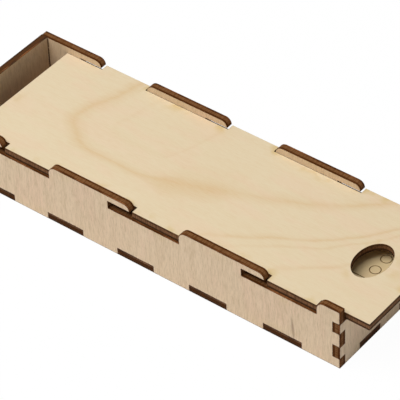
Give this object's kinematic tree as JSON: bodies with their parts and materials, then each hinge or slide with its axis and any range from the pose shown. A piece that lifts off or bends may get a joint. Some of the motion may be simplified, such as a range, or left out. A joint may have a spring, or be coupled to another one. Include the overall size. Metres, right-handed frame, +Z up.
{
  "type": "domino box",
  "caption": "Long low plywood box with finger-jointed walls, hooked side rims and a flat lid that slides under the hooks, holding a set of domino tiles.",
  "frame": {"origin": "middle of the floor's underside", "axes": "+X towards the low end that the lid slides over, +Y towards the left side wall, +Z up"},
  "size_m": [0.1949, 0.061, 0.0275],
  "materials": {
    "birch_wall": "bare birch plywood, laser-cut edges",
    "birch_floor": "bare birch plywood, laser-cut edges",
    "birch_lid": "bare birch plywood, laser-cut edges",
    "birch_tile": "bare plywood, engraved pips"
  },
  "bodies": {
    "box": {"floor_panel": "birch_floor", "right_side_wall": "birch_wall", "left_side_wall": "birch_wall", "closed_end_wall": "birch_wall", "low_end_wall": "birch_wall", "domino_6_6": "birch_tile", "domino_6_5": "birch_tile", "domino_6_4": "birch_tile", "domino_6_3": "birch_tile", "domino_6_2": "birch_tile", "domino_6_1": "birch_tile", "domino_6_0": "birch_tile", "domino_5_5": "birch_tile", "domino_5_4": "birch_tile", "domino_5_3": "birch_tile", "domino_5_2": "birch_tile", "domino_5_1": "birch_tile", "domino_5_0": "birch_tile", "domino_4_4": "birch_tile", "domino_4_3": "birch_tile", "domino_4_2": "birch_tile", "domino_4_1": "birch_tile", "domino_4_0": "birch_tile", "domino_3_3": "birch_tile", "domino_3_2": "birch_tile", "domino_3_1": "birch_tile", "domino_3_0": "birch_tile", "domino_2_2": "birch_tile", "domino_2_1": "birch_tile", "domino_2_0": "birch_tile", "domino_1_1": "birch_tile", "domino_1_0": "birch_tile", "domino_0_0": "birch_tile"},
    "lid": {"sliding_lid": "birch_lid"}
  },
  "joints": [
    {"name": "lid_slide", "type": "slide", "parent": "box", "child": "lid", "axis": [1, 0, 0], "range_m": [-0.0099, 0]}
  ]
}
